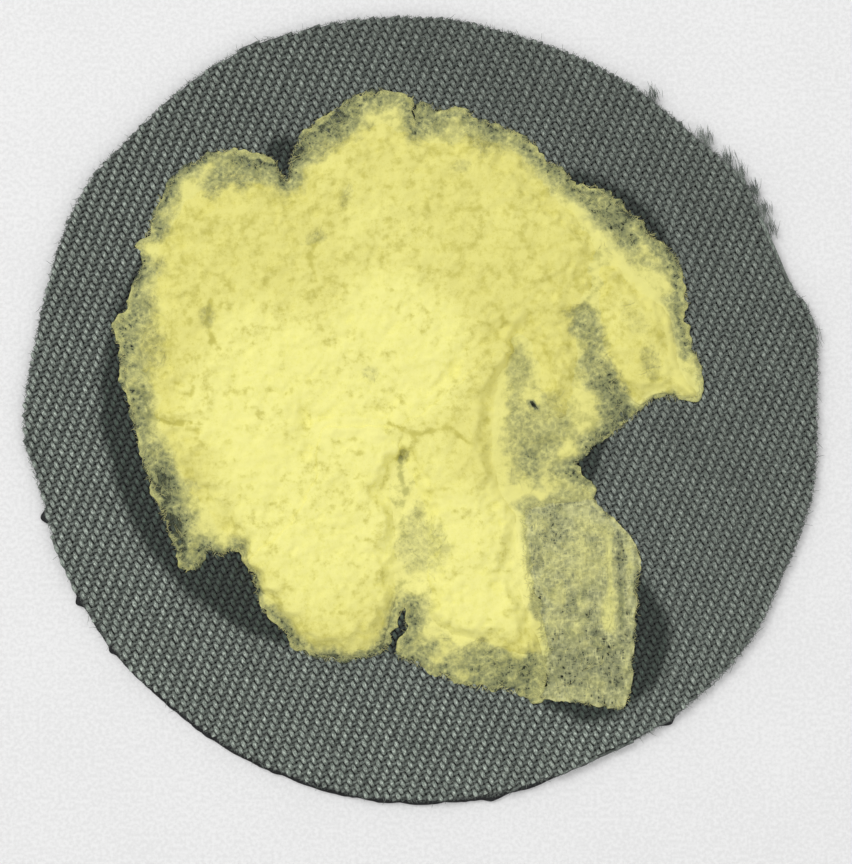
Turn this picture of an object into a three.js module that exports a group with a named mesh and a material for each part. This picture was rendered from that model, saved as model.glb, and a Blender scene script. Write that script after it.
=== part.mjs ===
// Clay disc on twill cloth: a hand-cut round of cloth on a thin black film, with a torn,
// fibrous layer of pale yellow clay laid on its face in plies.
//
// Millimetres, +Z up. The disc lies flat: its black film rests on z = 0 and the clay faces up.
// The origin is the middle of the underside.

import * as THREE from 'three';

// ---- Driving dimensions -------------------------------------------------------------------

const DISC_DIAMETER = 74.8; // the circle that the cloth was cut to
const CLOTH_THICKNESS = 0.75; // woven twill
const BACKING_THICKNESS = 0.4; // black film under the cloth
const BACKING_SHOW = 0.45; // how far the film runs past the cloth at the middle of the lower rim
const BACKING_INSET = 0.4; // how far the film stays back from the cloth's edge elsewhere

const BARE_BORDER = 3.2; // bare cloth between the disc's edge and the clay's furthest corner
const VEIL_THICKNESS = 0.3; // thin see-through ply
const PANEL_THICKNESS = 0.3; // lower right ply
const MAIN_THICKNESS = 0.9; // thick plies, which lie on the thin ones
const LOBE_THICKNESS = 1.1;
const TONGUE_THICKNESS = 1.0;
const FLAP_THICKNESS = 0.7;
const TEAR_GAP = 0.3; // width of the tear between two plies that lie side by side

const RIM_STEPS = 144; // straight pieces round the disc
const CURVE_STEPS = 3; // straight pieces between two points of a torn outline

// ---- Looks --------------------------------------------------------------------------------

const LOOKS = {
  film: { color: 0x141516, roughness: 0.55, metalness: 0 },
  cloth: { color: 0x5f6861, roughness: 0.95, metalness: 0 },
  veil: { color: 0xc3c493, roughness: 0.9, metalness: 0 },
  clay: { color: 0xe9e48b, roughness: 0.85, metalness: 0 },
};

// ---- Outlines -----------------------------------------------------------------------------

// How far the hand-cut rim wanders from the true circle: [angle in degrees, offset in mm].
const RIM_WANDER = [
  [0, 0.2], [12, 0.8], [21, -0.8], [26, -1.0], [33, 0.1], [47, -0.9], [75, -0.9],
  [90, -0.3], [108, 0.2], [116, 0.7], [137, 0.4], [145, 0.9], [168, -0.1], [185, 0.6],
  [192, -0.2], [205, -0.1], [222, -0.1], [228, -0.4], [246, -0.2], [262, 0.1], [280, 0.1],
  [295, -0.1], [312, 0.7], [325, 1.0], [335, 0.5], [346, 0.7],
];

// Where the black film shows past the cloth: the middle of that stretch and half its width.
const SHOW_ANGLE = 252;
const SHOW_SPREAD = 62;

// Torn edges of the clay, anticlockwise, at the size they have on a disc of the size above.
// Each inner list is one smooth stretch. Two stretches meet in a corner, a nick or a slit.
const VEIL_LEFT_EDGE = [
  [[-0.8, 26.6], [-1.1, 28.2], [-1.0, 29.4], [-3.6, 29.8], [-6.4, 29.4], [-8.6, 28.0],
    [-10.7, 26.3], [-12.2, 24.2], [-12.8, 21.1]],
  [[-12.8, 21.1], [-14.0, 23.2], [-15.6, 24.1], [-18.0, 24.3], [-20.6, 23.8], [-23.4, 21.8],
    [-25.2, 19.2], [-26.0, 16.4], [-27.1, 15.2]],
  [[-27.1, 15.2], [-26.4, 14.0], [-27.3, 11.6], [-28.0, 9.2], [-29.4, 7.7]],
  [[-29.4, 7.7], [-28.7, 5.3], [-28.3, 2.4], [-27.4, -1.2], [-26.6, -4.8], [-25.6, -7.6],
    [-24.5, -10.6], [-23.4, -13.4], [-22.4, -15.5]],
  [[-22.4, -15.5], [-21.4, -15.0], [-20.3, -13.3]],
  [[-20.3, -13.3], [-19.3, -14.2], [-18.3, -13.5], [-17.1, -13.6], [-16.1, -15.9],
    [-15.7, -18.0], [-14.4, -20.1], [-12.9, -21.4]],
  [[-12.9, -21.4], [-11.8, -23.2], [-8.4, -24.0], [-5.2, -23.8], [-3.5, -23.0]],
  [[-3.5, -23.0], [-3.1, -21.6], [-2.1, -19.6], [-1.6, -18.7]],
  [[-1.6, -18.7], [-1.4, -20.6], [-2.2, -23.6]],
  [[-2.2, -23.6], [1.2, -25.2], [3.6, -26.3], [6.6, -26.8], [8.7, -26.9], [10.6, -27.7],
    [11.2, -27.5]],
];
const VEIL_RIGHT_EDGE = [
  [[15.9, -8.4], [15.2, -6.8], [14.4, -5.5]],
  [[14.4, -5.5], [16.0, -3.9], [18.7, -2.0], [20.8, -0.1], [22.1, 0.8], [24.2, 0.9],
    [26.3, 0.8]],
  [[26.3, 0.8], [26.3, 3.9], [25.5, 6.2], [24.8, 8.6], [25.2, 9.9]],
  [[25.2, 9.9], [24.7, 12.4], [24.0, 14.5], [22.1, 15.9], [20.6, 17.8], [18.7, 19.3],
    [16.6, 20.9], [14.5, 20.9]],
  [[14.5, 20.9], [13.3, 22.5], [11.6, 23.5], [9.8, 25.5], [7.7, 26.6], [5.1, 27.5],
    [3.3, 28.5], [1.5, 28.2], [-0.1, 29.0]],
  [[-0.1, 29.0], [-0.5, 27.8], [-0.8, 26.6]],
];
// The tear between the veil and the panel, from the disc's right side down to its lower side.
const PANEL_TEAR = [[15.9, -8.4], [12.0, -9.0], [9.8, -9.9], [9.8, -15.0], [11.0, -19.6],
  [12.1, -23.4], [11.7, -25.5], [11.2, -27.5]];
const PANEL_EDGE = [
  [[11.2, -27.5], [13.5, -27.8], [16.0, -28.2], [18.7, -28.7]],
  [[18.7, -28.7], [19.5, -28.1], [19.9, -25.5], [20.1, -21.7], [20.4, -18.0], [20.6, -14.2]],
  [[20.6, -14.2], [19.8, -12.8], [18.4, -10.9], [17.1, -9.9], [15.9, -8.4]],
];

// The tear along the top of the lower lobe and the top of the tongue, from the left to the
// right, with the corner where the trough between those two begins.
const LOBE_TEAR = [[-16.0, -14.4], [-13.6, -12.7], [-11.2, -10.3], [-9.4, -6.8],
  [-9.2, -2.4], [-2.4, -2.3]];
const TONGUE_TEAR = [[-1.7, -2.3], [1.8, 0.2], [5.1, 3.0], [7.4, 5.3]];

const MAIN_EDGE = [
  [[7.4, 5.3], [8.7, 6.8], [10.2, 5.4], [11.0, 1.6], [13.2, -1.0]],
  [[13.2, -1.0], [14.3, 0.9], [14.8, 4.4], [15.2, 9.2], [16.6, 13.8], [15.8, 16.6],
    [13.0, 19.6], [9.4, 23.9], [5.4, 25.6], [1.8, 25.4], [-0.9, 25.9]],
  [[-0.9, 25.9], [-3.6, 27.2], [-6.8, 26.8], [-9.4, 25.0], [-11.2, 23.0], [-12.6, 20.2]],
  [[-12.6, 20.2], [-14.2, 21.2], [-17.0, 21.8], [-20.2, 21.4], [-22.6, 19.6], [-24.4, 16.6],
    [-25.6, 12.6], [-26.2, 8.4], [-26.6, 5.0], [-25.6, 1.2], [-24.6, -3.2], [-23.0, -7.2],
    [-20.6, -10.2], [-18.2, -12.4], [-16.0, -14.4]],
];
const LOBE_EDGE = [
  [[-16.0, -14.4], [-15.2, -17.4], [-13.6, -19.8], [-12.2, -21.4], [-10.8, -23.0],
    [-8.2, -23.5], [-5.4, -23.3], [-3.9, -22.6]],
  [[-3.9, -22.6], [-3.2, -20.4], [-2.6, -17.6], [-2.4, -14.4], [-2.9, -9.0], [-2.7, -5.0],
    [-2.4, -2.3]],
];
const TONGUE_EDGE = [
  [[-1.7, -2.3], [-1.0, -6.8], [0.6, -10.8], [0.3, -14.6], [1.0, -17.4], [0.4, -19.4]],
  [[0.4, -19.4], [2.0, -21.0], [4.8, -22.3], [8.4, -23.3], [11.3, -23.4]],
  [[11.3, -23.4], [10.2, -19.8], [8.6, -15.8], [9.1, -12.8], [8.7, -10.2]],
  [[8.7, -10.2], [7.4, -8.0], [6.9, -5.4], [6.9, -1.6], [7.4, 5.3]],
];
const FLAP_EDGE = [
  [[17.2, 13.6], [16.8, 10.0], [17.1, 6.2], [18.1, 3.0], [19.6, 1.2], [20.8, 0.3]],
  [[20.8, 0.3], [22.2, 1.2], [24.2, 1.3], [25.9, 1.2]],
  [[25.9, 1.2], [24.6, 3.6], [24.0, 6.6], [23.2, 9.0], [20.6, 11.2], [18.8, 13.0],
    [17.2, 13.6]],
];

// ---- Helpers ------------------------------------------------------------------------------

// The clay keeps its bare border of cloth on a disc of any size.
const drawnReach = Math.max(...PANEL_EDGE.flat().map(([x, y]) => Math.hypot(x, y)));
const claySpread = (DISC_DIAMETER / 2 - BARE_BORDER) / drawnReach;

function onDisc(points) {
  return points.map(([x, y]) => new THREE.Vector2(x, y).multiplyScalar(claySpread));
}

// Smooth stretches joined end to end. Each starts where the one before it ends, and the last
// point is left to whatever comes next.
function tornEdge(stretches) {
  return stretches.flatMap((points) => {
    const curve = new THREE.SplineCurve(onDisc(points));
    return curve.getPoints((points.length - 1) * CURVE_STEPS).slice(0, -1);
  });
}

// A torn edge that runs from one tear to another. The tears' sides give both its ends.
function edgeBetweenTears(stretches) {
  return tornEdge(stretches).slice(1);
}

// One side of a tear: its line, moved sideways by half the gap, to the left for a positive side.
function besideTear(line, side) {
  const points = onDisc(line);
  return points.map((point, i) => {
    const before = points[Math.max(i - 1, 0)];
    const after = points[Math.min(i + 1, points.length - 1)];
    const along = after.clone().sub(before).normalize();
    const left = new THREE.Vector2(-along.y, along.x);
    return point.clone().addScaledVector(left, (side * TEAR_GAP) / 2);
  });
}

function ply(name, outline, bottom, thickness, look) {
  const geometry = new THREE.ExtrudeGeometry(new THREE.Shape(outline), {
    depth: thickness,
    bevelEnabled: false,
  });
  const mesh = new THREE.Mesh(geometry, new THREE.MeshStandardMaterial(look));
  mesh.name = name;
  mesh.position.z = bottom;
  return mesh;
}

// ---- Cloth and its film -------------------------------------------------------------------

function rimRadius(angle) {
  const turn = 360;
  const next = RIM_WANDER.findIndex(([at]) => at > angle);
  const b = next < 0 ? [turn, RIM_WANDER[0][1]] : RIM_WANDER[next];
  const a = RIM_WANDER.at(next < 0 ? -1 : next - 1);
  const along = THREE.MathUtils.smoothstep(angle, a[0], b[0]);
  return DISC_DIAMETER / 2 + THREE.MathUtils.lerp(a[1], b[1], along);
}

// What is added to the cloth's radius to give the film's.
function filmShow(angle) {
  const away = Math.min(Math.abs(angle - SHOW_ANGLE) / SHOW_SPREAD, 1);
  const show = Math.cos((away * Math.PI) / 2) ** 0.5;
  return THREE.MathUtils.lerp(-BACKING_INSET, BACKING_SHOW, show);
}

function rimOutline(extra) {
  return Array.from({ length: RIM_STEPS }, (_, i) => {
    const angle = (i * 360) / RIM_STEPS;
    const radius = rimRadius(angle) + extra(angle);
    const radians = THREE.MathUtils.degToRad(angle);
    return new THREE.Vector2(radius * Math.cos(radians), radius * Math.sin(radians));
  });
}

function blackBacking() {
  return ply('black_backing', rimOutline(filmShow), 0, BACKING_THICKNESS, LOOKS.film);
}

function twillFace() {
  const outline = rimOutline(() => 0);
  return ply('twill_face', outline, BACKING_THICKNESS, CLOTH_THICKNESS, LOOKS.cloth);
}

// ---- Clay plies ---------------------------------------------------------------------------

const clothTop = BACKING_THICKNESS + CLOTH_THICKNESS;
const veilTop = clothTop + VEIL_THICKNESS;

function clayVeil() {
  const outline = [
    ...edgeBetweenTears([...VEIL_RIGHT_EDGE, ...VEIL_LEFT_EDGE]),
    ...besideTear(PANEL_TEAR, -1).reverse(),
  ];
  return ply('clay_veil', outline, clothTop, VEIL_THICKNESS, LOOKS.veil);
}

function clayPanel() {
  const outline = [...edgeBetweenTears(PANEL_EDGE), ...besideTear(PANEL_TEAR, 1)];
  return ply('clay_panel', outline, clothTop, PANEL_THICKNESS, LOOKS.veil);
}

function clayMainPly() {
  const outline = [
    ...edgeBetweenTears(MAIN_EDGE),
    ...besideTear(LOBE_TEAR, 1),
    ...besideTear(TONGUE_TEAR, 1),
  ];
  return ply('clay_main_ply', outline, veilTop, MAIN_THICKNESS, LOOKS.clay);
}

function clayLobePly() {
  const outline = [...edgeBetweenTears(LOBE_EDGE), ...besideTear(LOBE_TEAR, -1).reverse()];
  return ply('clay_lobe_ply', outline, veilTop, LOBE_THICKNESS, LOOKS.clay);
}

function clayTonguePly() {
  const outline = [...edgeBetweenTears(TONGUE_EDGE), ...besideTear(TONGUE_TEAR, -1).reverse()];
  return ply('clay_tongue_ply', outline, veilTop, TONGUE_THICKNESS, LOOKS.clay);
}

function clayFlap() {
  return ply('clay_flap', tornEdge(FLAP_EDGE), veilTop, FLAP_THICKNESS, LOOKS.clay);
}

// ---- Assembly -----------------------------------------------------------------------------

const disc = new THREE.Group();
disc.add(
  blackBacking(),
  twillFace(),
  clayVeil(),
  clayPanel(),
  clayMainPly(),
  clayLobePly(),
  clayTonguePly(),
  clayFlap(),
);

// The origin is moved to the middle of the hand-cut outline.
const middle = new THREE.Box3().setFromObject(disc).getCenter(new THREE.Vector3());
disc.position.set(-middle.x, -middle.y, 0);

export default disc;
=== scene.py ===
# %% [markdown]
# # A disc of twill cloth with a torn layer of clay
#
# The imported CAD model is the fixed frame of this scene. Every size and place below is either
# read from it or named once, in millimetres, and turned into metres where it is used.

# %% Load the frame
import math

import bmesh
import bpy
import numpy as np
from mathutils.geometry import delaunay_2d_cdt
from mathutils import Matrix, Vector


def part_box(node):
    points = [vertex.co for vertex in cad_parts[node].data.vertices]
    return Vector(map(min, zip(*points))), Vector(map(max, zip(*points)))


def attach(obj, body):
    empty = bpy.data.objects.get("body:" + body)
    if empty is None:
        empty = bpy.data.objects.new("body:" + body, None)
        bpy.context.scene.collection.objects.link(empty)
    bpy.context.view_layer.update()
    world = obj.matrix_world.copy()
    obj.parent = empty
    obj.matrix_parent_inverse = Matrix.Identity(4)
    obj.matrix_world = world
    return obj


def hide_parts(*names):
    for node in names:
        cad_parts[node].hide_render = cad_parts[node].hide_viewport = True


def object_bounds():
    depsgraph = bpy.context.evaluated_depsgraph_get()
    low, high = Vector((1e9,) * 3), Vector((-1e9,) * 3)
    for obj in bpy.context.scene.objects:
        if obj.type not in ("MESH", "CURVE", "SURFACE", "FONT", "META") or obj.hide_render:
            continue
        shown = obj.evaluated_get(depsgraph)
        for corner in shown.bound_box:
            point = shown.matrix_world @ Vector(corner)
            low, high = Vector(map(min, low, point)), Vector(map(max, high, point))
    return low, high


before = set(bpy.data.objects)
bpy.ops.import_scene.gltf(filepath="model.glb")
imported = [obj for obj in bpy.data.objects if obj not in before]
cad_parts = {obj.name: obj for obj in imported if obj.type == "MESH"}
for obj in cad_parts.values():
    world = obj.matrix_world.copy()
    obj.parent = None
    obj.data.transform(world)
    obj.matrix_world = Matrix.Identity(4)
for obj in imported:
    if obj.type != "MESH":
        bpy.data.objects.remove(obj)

MM = 0.001
CAD_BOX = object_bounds()
DISC_MIDDLE = [(low + high) / 2 for low, high in zip(*CAD_BOX)]
CLOTH_LOW, CLOTH_HIGH = (corner[2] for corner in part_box("twill_face"))
print("CAD box, mm:", [[round(x / MM, 2) for x in corner] for corner in CAD_BOX])

# %% [markdown]
# ## Camera, floor and light
#
# The disc is looked at from straight above, as a sample laid on a table is. A long lens from
# close by keeps its outline true. The floor is plain and pale. A broad lamp from the upper left
# gives the weave and the clay their soft relief, and the pale world fills the shadows.

# %% Camera


def placed(name, data):
    """A new object in the scene, which shows the data."""
    made = bpy.data.objects.new(name, data)
    bpy.context.collection.objects.link(made)
    return made


FRAME_HEIGHT = 82.1 * MM  # what the picture takes in, top to bottom, at the cloth
LENS = 100
SENSOR = 36
AIM = (0.5 * MM, -2.0 * MM)  # the middle of the picture, from the middle of the disc

camera = placed("camera", bpy.data.cameras.new("camera"))
camera.data.lens = LENS
camera.data.sensor_fit = "VERTICAL"
camera.data.sensor_height = SENSOR
camera.data.clip_start = 0.01
camera.location = (AIM[0], AIM[1], CLOTH_HIGH + FRAME_HEIGHT * LENS / SENSOR)
bpy.context.scene.camera = camera
print("camera height, mm:", round(camera.location.z / MM, 1))

# %% Floor, lamps and world
FLOOR_SIDE = 2.0


def area_lamp(name, place, turn, side, power):
    lamp = placed(name, bpy.data.lights.new(name, "AREA"))
    lamp.data.size = side
    lamp.data.energy = power
    lamp.location = place
    lamp.rotation_euler = [math.radians(angle) for angle in turn]


bpy.ops.mesh.primitive_plane_add(size=FLOOR_SIDE)
floor = bpy.context.object
floor.name = "floor"
area_lamp("key_lamp", (-0.51, 0.48, 0.80), (-30, -33, 0), side=0.54, power=4.7)
area_lamp("fill_lamp", (0.50, -0.40, 0.70), (30, 36, 0), side=0.80, power=1.3)
world = bpy.data.worlds.new("studio")
bpy.context.scene.world = world
world.use_nodes = True
sky = world.node_tree.nodes["Background"].inputs
sky["Color"].default_value = (1, 1, 1, 1)
sky["Strength"].default_value = 0.60
bpy.context.scene.view_settings.view_transform = "Standard"

# %% [markdown]
# ## Node graphs written as sums
#
# Materials and Geometry Nodes trees are both graphs of sockets. `Value` wraps one output socket,
# so that maths on sockets reads like ordinary Python, and `Graph.node` makes any other node from
# its type, its settings and its inputs.

# %% Graph helpers


class Value:
    """One number socket. Sums on it add Math nodes."""

    def __init__(self, graph, socket):
        self.graph = graph
        self.socket = socket

    def math(self, operation, *others):
        return self.graph.math(operation, self, *others)


def operator(operation):
    """The two methods that add a Math node for value + other and for other + value."""
    return (
        lambda value, other: value.graph.math(operation, value, other),
        lambda value, other: value.graph.math(operation, other, value),
    )


Value.__add__, Value.__radd__ = operator("ADD")
Value.__sub__, Value.__rsub__ = operator("SUBTRACT")
Value.__mul__, Value.__rmul__ = operator("MULTIPLY")
Value.__truediv__, Value.__rtruediv__ = operator("DIVIDE")


class Graph:
    """A node tree under construction, for a material or for Geometry Nodes."""

    def __init__(self, tree):
        self.tree = tree

    def feed(self, socket, value):
        if isinstance(value, Value):
            value = value.socket
        if isinstance(value, bpy.types.NodeSocket):
            self.tree.links.new(value, socket)
        elif value is not None:
            socket.default_value = value

    def node(self, kind, settings=None, inputs=()):
        """inputs is a dict of socket names, or a list in the order of the sockets."""
        made = self.tree.nodes.new(kind)
        for name, value in (settings or {}).items():
            setattr(made, name, value)
        named = inputs.items() if isinstance(inputs, dict) else enumerate(inputs)
        for key, value in named:
            self.feed(made.inputs[key], value)
        return made

    def out(self, kind, settings=None, output=0, **inputs):
        """An output of a new node. Inputs are named as its sockets are, with _ for a space."""
        named = {name.replace("_", " "): value for name, value in inputs.items()}
        return self.node(kind, settings, named).outputs[output]

    def math(self, operation, *values):
        made = self.node("ShaderNodeMath", {"operation": operation}, values)
        return Value(self, made.outputs[0])

    def value(self, socket):
        return Value(self, socket)

    def xyz(self, x=0.0, y=0.0, z=0.0):
        return self.node("ShaderNodeCombineXYZ", None, [x, y, z]).outputs[0]

    def parts(self, vector):
        split = self.node("ShaderNodeSeparateXYZ", None, [vector])
        return [Value(self, output) for output in split.outputs]

    def vector(self, operation, *values):
        return self.node("ShaderNodeVectorMath", {"operation": operation}, values).outputs[0]

    def scaled(self, vector, scale):
        return self.out("ShaderNodeVectorMath", {"operation": "SCALE"}, Vector=vector, Scale=scale)

    def stray(self, place, scale, detail):
        """A noise vector, whose parts run from about -0.5 to 0.5."""
        noise = self.out("ShaderNodeTexNoise", None, 1, Vector=place, Scale=scale, Detail=detail)
        return self.vector("SUBTRACT", noise, (0.5, 0.5, 0.5))


def geometry_tree(name, **sockets):
    """A Geometry Nodes tree. Each keyword is a kind of input, and lists the names of the inputs."""
    tree = bpy.data.node_groups.new(name, "GeometryNodeTree")
    tree.interface.new_socket("Geometry", in_out="OUTPUT", socket_type="NodeSocketGeometry")
    kinds = {label: kind for kind, labels in sockets.items() for label in labels}
    for label, kind in kinds.items():
        tree.interface.new_socket(label, in_out="INPUT", socket_type="NodeSocket" + kind)
    graph = Graph(tree)
    start = graph.node("NodeGroupInput")
    given = {}
    for label, kind in kinds.items():
        socket = start.outputs[label]
        given[label] = graph.value(socket) if kind in ("Float", "Int") else socket
    return graph, given


def finish_tree(graph, geometry, material):
    """Ends a tree as every tree here ends: real mesh, smooth, with its material set."""
    real = graph.node("GeometryNodeRealizeInstances", None, [geometry]).outputs[0]
    smooth = graph.node("GeometryNodeSetShadeSmooth", None, [real]).outputs[0]
    dressed = graph.out("GeometryNodeSetMaterial", None, Geometry=smooth, Material=material)
    graph.node("NodeGroupOutput", None, [dressed])
    return graph.tree


def skinned(graph, curve, section):
    """The curve with the section swept along it, as wide as the curve's radius says."""
    made = graph.node(
        "GeometryNodeCurveToMesh", None, {"Curve": curve, "Profile Curve": section, "Fill Caps": True}
    )
    if "Scale" in made.inputs:
        graph.feed(made.inputs["Scale"], graph.node("GeometryNodeInputRadius").outputs[0])
    return made.outputs[0]


def grown(name, tree, sizes):
    """Runs a tree with the given sizes and returns its result as a plain mesh piece."""
    mould = placed(name + "_mould", bpy.data.meshes.new(name + "_mould"))
    modifier = mould.modifiers.new("grow", "NODES")
    modifier.node_group = tree
    sockets = {item.name: item.identifier for item in tree.interface.items_tree}
    for label, value in sizes.items():
        modifier[sockets[label]] = value
    depsgraph = bpy.context.evaluated_depsgraph_get()
    mesh = bpy.data.meshes.new_from_object(mould.evaluated_get(depsgraph), depsgraph=depsgraph)
    bpy.data.objects.remove(mould)
    mesh.name = name
    print(name, "triangles:", sum(len(face.vertices) - 2 for face in mesh.polygons))
    return placed(name, mesh)


# %% [markdown]
# ## Finishes
#
# Each finish is a Principled shader whose colour, roughness and bump vary with Object
# coordinates, which run in metres through the whole disc. That keeps a stain or a mottle in one
# place across all the yarns and plies that it crosses.

# %% Material helpers


def new_material(name):
    material = bpy.data.materials.new(name)
    material.use_nodes = True
    graph = Graph(material.node_tree)
    shader = material.node_tree.nodes["Principled BSDF"]
    place = graph.node("ShaderNodeTexCoord").outputs["Object"]
    return material, graph, shader, place


def cloudiness(graph, place, size, detail=3.0, stretch=1.0, turn=0.0):
    """Soft noise from 0 to 1 in clouds about size across. stretch lengthens them along turn."""
    mapped = graph.out(
        "ShaderNodeMapping",
        {"vector_type": "TEXTURE"},
        Vector=place,
        Rotation=(0.0, 0.0, turn),
        Scale=(stretch, 1.0, 1.0),
    )
    noise = graph.out(
        "ShaderNodeTexNoise", Vector=mapped, Scale=1 / size, Detail=detail, Roughness=0.55
    )
    return graph.value(noise)


def between(graph, factor, low, high, smooth=True):
    """factor mapped so that low gives 0 and high gives 1."""
    settings = {"interpolation_type": "SMOOTHSTEP" if smooth else "LINEAR"}
    inputs = {"Value": factor, "From Min": low, "From Max": high}
    return graph.value(graph.node("ShaderNodeMapRange", settings, inputs).outputs[0])


def blend(graph, factor, first, second, mode="MIX"):
    """A Mix node on two colours, which are sockets or (r, g, b)."""
    settings = {"data_type": "RGBA", "blend_type": mode}
    mix = graph.node("ShaderNodeMix", settings)
    graph.feed(mix.inputs[0], factor)
    for socket, colour in ((mix.inputs[6], first), (mix.inputs[7], second)):
        graph.feed(socket, (*colour, 1.0) if isinstance(colour, tuple) else colour)
    return mix.outputs[2]


def bump(graph, height, strength, distance):
    return graph.out("ShaderNodeBump", Height=height, Strength=strength, Distance=distance)


def linear(red, green, blue):
    """A colour given as it looks on a screen, from 0 to 255, as the shader wants it."""
    return tuple(
        (c / 255 / 12.92) if c / 255 <= 0.04045 else ((c / 255 + 0.055) / 1.055) ** 2.4
        for c in (red, green, blue)
    )


def mottled(name, size, dark, pale, rough, rougher, detail=3.0):
    """A finish that drifts between two colours in clouds about size across."""
    material, graph, shader, place = new_material(name)
    tone = cloudiness(graph, place, size, detail)
    colour = blend(graph, between(graph, tone, 0.3, 0.7), linear(*dark), linear(*pale))
    graph.feed(shader.inputs["Base Color"], colour)
    graph.feed(shader.inputs["Roughness"], rough + tone * rougher)
    return material, graph, shader, place, tone


# %% Floor finish
floor_material, graph, shader, place = new_material("pale_floor")
grain = cloudiness(graph, place, 0.35 * MM, detail=2.0) * 0.85
grain = grain + cloudiness(graph, place, 9 * MM) * 0.15
colour = blend(graph, between(graph, grain, 0.35, 0.65), linear(232, 232, 232), linear(243, 243, 243))
graph.feed(shader.inputs["Base Color"], colour)
shader.inputs["Roughness"].default_value = 0.9
floor.data.materials.append(floor_material)

# %% [markdown]
# ## The weave
#
# The cloth is a three-end twill: each warp yarn passes over two weft yarns and under the next,
# and its neighbour does the same one weft further on, so the floats line up in steep ribs. A
# picture of a weave on a flat disc would look flat in a raking light, so every yarn is a real
# one. Geometry Nodes lays out a row of straight lines, waves each one up and down by a cosine of
# its place in the weave, cuts it at the cloth's rim and gives it a flattened round section.

# %% Sizes of the weave
YARN_PITCH = 0.456 * MM
WARP_ANGLE = math.radians(114)
WEFT_ANGLE = math.radians(24)
YARN_HALF_HEIGHT = 0.125 * MM
WARP_HALF_WIDTH = 0.190 * MM
WEFT_HALF_WIDTH = 0.170 * MM
CRIMP = 0.165 * MM  # how far a yarn is waved up and down
WANDER = 0.27 * MM  # how far it strays to the side
WANDER_SCALE = 900.0  # of the noise that moves it
FRAY = 0.35 * MM  # how unevenly the rim cuts it
FRAY_SCALE = 1400.0
WEAVE_MIDDLE = CLOTH_HIGH - 1.25 * CRIMP - YARN_HALF_HEIGHT
YARNS = 2 * math.ceil(0.52 * (CAD_BOX[1][0] - CAD_BOX[0][0]) / YARN_PITCH)

# %% The tree that weaves one set of yarns


def weaving_tree():
    graph, given = geometry_tree(
        "woven_yarns",
        Object=["Rim"],
        Int=["First", "Count", "Crossings", "Sides"],
        Float=["Pitch", "Half width", "Half height", "Crimp", "Bulge", "Step", "Angle"]
        + ["Wander", "Fray"],
        Vector=["Middle"],
        Material=["Material"],
    )
    pitch = given["Pitch"]
    rows = graph.out(
        "GeometryNodeMeshLine",
        {"mode": "OFFSET"},
        Count=given["Count"],
        Start_Location=graph.xyz(0.0, given["First"] * pitch, 0.0),
        Offset=graph.xyz(0.0, pitch, 0.0),
    )
    reach = given["Crossings"] * pitch * 0.5
    straight = graph.out(
        "GeometryNodeCurvePrimitiveLine", Start=graph.xyz(reach * -1.0), End=graph.xyz(reach)
    )
    stops = given["Crossings"] * 2 + 1
    stepped = graph.out("GeometryNodeResampleCurve", Curve=straight, Count=stops)
    yarns = graph.out("GeometryNodeInstanceOnPoints", Points=rows, Instance=stepped)
    yarns = graph.out("GeometryNodeRealizeInstances", Geometry=yarns)

    place = graph.out("GeometryNodeInputPosition")
    along, across, _ = graph.parts(place)
    row = (across / pitch).math("ROUND")
    phase = (along / pitch + row * given["Step"]) * (2 * math.pi / 3)
    wave = (0.25 - phase.math("COSINE")) * given["Crimp"]
    _, aside, lift = graph.parts(graph.stray(place, WANDER_SCALE, 1.0))
    wander = given["Wander"]
    offset = graph.xyz(0.0, aside * wander, wave + lift * wander * 0.35)
    swell = 1.0 - phase.math("COSINE") * given["Bulge"]
    yarns = graph.out("GeometryNodeSetCurveRadius", Curve=yarns, Radius=swell)
    yarns = graph.out("GeometryNodeSetPosition", Geometry=yarns, Offset=offset)
    turn = graph.xyz(0.0, 0.0, given["Angle"])
    turned = graph.out(
        "GeometryNodeTransform", Geometry=yarns, Translation=given["Middle"], Rotation=turn
    )

    rim = graph.node("GeometryNodeObjectInfo", None, [given["Rim"]]).outputs["Geometry"]
    here = graph.out("GeometryNodeInputPosition")
    ragged = graph.scaled(graph.stray(here, FRAY_SCALE, 2.0), given["Fray"])
    above = graph.vector("MULTIPLY_ADD", graph.vector("ADD", here, ragged), (1, 1, 0), (0, 0, 1))
    ray = graph.out(
        "GeometryNodeRaycast",
        None,
        "Is Hit",
        Target_Geometry=rim,
        Source_Position=above,
        Ray_Direction=(0, 0, -1),
        Ray_Length=2.0,
    )
    outside = graph.node("FunctionNodeBooleanMath", {"operation": "NOT"}, [ray]).outputs[0]
    whole_points = {"domain": "POINT"}
    cut = graph.out("GeometryNodeDeleteGeometry", whole_points, Geometry=turned, Selection=outside)
    upright = graph.out("GeometryNodeSetCurveNormal", {"mode": "Z_UP"}, Curve=cut)
    round_section = graph.out("GeometryNodeCurvePrimitiveCircle", Resolution=given["Sides"], Radius=1.0)
    flattening = graph.xyz(given["Half width"], given["Half height"], 1.0)
    section = graph.out("GeometryNodeTransform", Geometry=round_section, Scale=flattening)
    return finish_tree(graph, skinned(graph, upright, section), given["Material"])


weaving = weaving_tree()

# %% [markdown]
# ## Outlines taken from the frame
#
# The cloth, its backing and the clay plies are all sheets with a free outline. The CAD slabs hold
# those outlines, so each sheet starts from the rim of its slab's top face. A torn or cut edge is
# never smooth, so the rim is then walked in small steps and pushed in and out by soft noise.

# %% Outline helpers


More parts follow.
